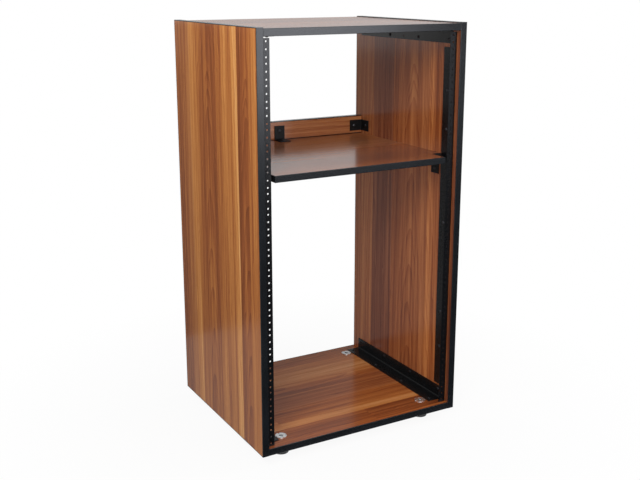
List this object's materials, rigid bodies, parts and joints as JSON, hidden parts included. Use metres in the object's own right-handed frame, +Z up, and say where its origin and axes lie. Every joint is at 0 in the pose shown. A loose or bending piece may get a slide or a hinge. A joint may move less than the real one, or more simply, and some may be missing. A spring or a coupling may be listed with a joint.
{
  "type": "studio rack cabinet",
  "caption": "Open-front and open-back studio rack cabinet in wood-grain boards, with punched steel rack rails, a braced shelf and levelling feet.",
  "frame": {"origin": "on the floor under the middle of the cabinet, with the feet fully screwed in", "axes": "+Z up, +Y towards the rear, +X to the right seen from the open front"},
  "size_m": [0.52, 0.44, 0.949],
  "materials": {
    "walnut_laminate": "satin wood-grain laminate",
    "edge_band": "satin black edge band",
    "black_steel": "satin black powder coat",
    "black_screw_steel": "black oxide",
    "zinc_steel": "bright zinc plate",
    "pad_plastic": "moulded black plastic"
  },
  "bodies": {
    "cabinet": {"bottom_edge_band": "edge_band", "bottom_panel": "walnut_laminate", "brace_centre_bracket": "black_steel", "brace_edge_band": "edge_band", "brace_left_bracket": "black_steel", "brace_right_bracket": "black_steel", "bracket_screws": "black_screw_steel", "corner_angle_screws": "black_screw_steel", "front_left_tee_nut": "zinc_steel", "front_right_tee_nut": "zinc_steel", "left_rack_rail": "black_steel", "left_side_edge_band": "edge_band", "left_side_panel": "walnut_laminate", "lower_left_corner_angle": "black_steel", "lower_right_corner_angle": "black_steel", "rail_screws": "black_screw_steel", "rear_brace": "walnut_laminate", "rear_left_tee_nut": "zinc_steel", "rear_right_tee_nut": "zinc_steel", "right_rack_rail": "black_steel", "right_side_edge_band": "edge_band", "right_side_panel": "walnut_laminate", "shelf_edge_band": "edge_band", "shelf_left_bracket": "black_steel", "shelf_panel": "walnut_laminate", "shelf_right_bracket": "black_steel", "top_edge_band": "edge_band", "top_panel": "walnut_laminate", "upper_left_corner_angle": "black_steel", "upper_right_corner_angle": "black_steel"},
    "front_left_pad": {"front_left_foot_pad": "pad_plastic"},
    "front_left_stem": {"front_left_foot_stem": "zinc_steel"},
    "front_right_pad": {"front_right_foot_pad": "pad_plastic"},
    "front_right_stem": {"front_right_foot_stem": "zinc_steel"},
    "rear_left_pad": {"rear_left_foot_pad": "pad_plastic"},
    "rear_left_stem": {"rear_left_foot_stem": "zinc_steel"},
    "rear_right_pad": {"rear_right_foot_pad": "pad_plastic"},
    "rear_right_stem": {"rear_right_foot_stem": "zinc_steel"}
  },
  "joints": [
    {"name": "front_left_foot_travel", "type": "slide", "parent": "cabinet", "child": "front_left_pad", "axis": [0, 0, -1], "range_m": [0, 0.008]},
    {"name": "front_left_stem_turn", "type": "hinge", "parent": "front_left_pad", "child": "front_left_stem", "pos_m": [-0.192, -0.175, 0.0185], "axis": [0, 0, -1], "range_deg": [0, 2304]},
    {"name": "front_right_foot_travel", "type": "slide", "parent": "cabinet", "child": "front_right_pad", "axis": [0, 0, -1], "range_m": [0, 0.008]},
    {"name": "front_right_stem_turn", "type": "hinge", "parent": "front_right_pad", "child": "front_right_stem", "pos_m": [0.192, -0.175, 0.0185], "axis": [0, 0, -1], "range_deg": [0, 2304]},
    {"name": "rear_left_foot_travel", "type": "slide", "parent": "cabinet", "child": "rear_left_pad", "axis": [0, 0, -1], "range_m": [0, 0.008]},
    {"name": "rear_left_stem_turn", "type": "hinge", "parent": "rear_left_pad", "child": "rear_left_stem", "pos_m": [-0.192, 0.175, 0.0185], "axis": [0, 0, -1], "range_deg": [0, 2304]},
    {"name": "rear_right_foot_travel", "type": "slide", "parent": "cabinet", "child": "rear_right_pad", "axis": [0, 0, -1], "range_m": [0, 0.008]},
    {"name": "rear_right_stem_turn", "type": "hinge", "parent": "rear_right_pad", "child": "rear_right_stem", "pos_m": [0.192, 0.175, 0.0185], "axis": [0, 0, -1], "range_deg": [0, 2304]}
  ],
  "couplings": [
    {"joint": "front_left_stem_turn", "follows": "front_left_foot_travel", "rad_per_m": 5026.5},
    {"joint": "front_right_stem_turn", "follows": "front_right_foot_travel", "rad_per_m": 5026.5},
    {"joint": "rear_left_stem_turn", "follows": "rear_left_foot_travel", "rad_per_m": 5026.5},
    {"joint": "rear_right_stem_turn", "follows": "rear_right_foot_travel", "rad_per_m": 5026.5}
  ]
}
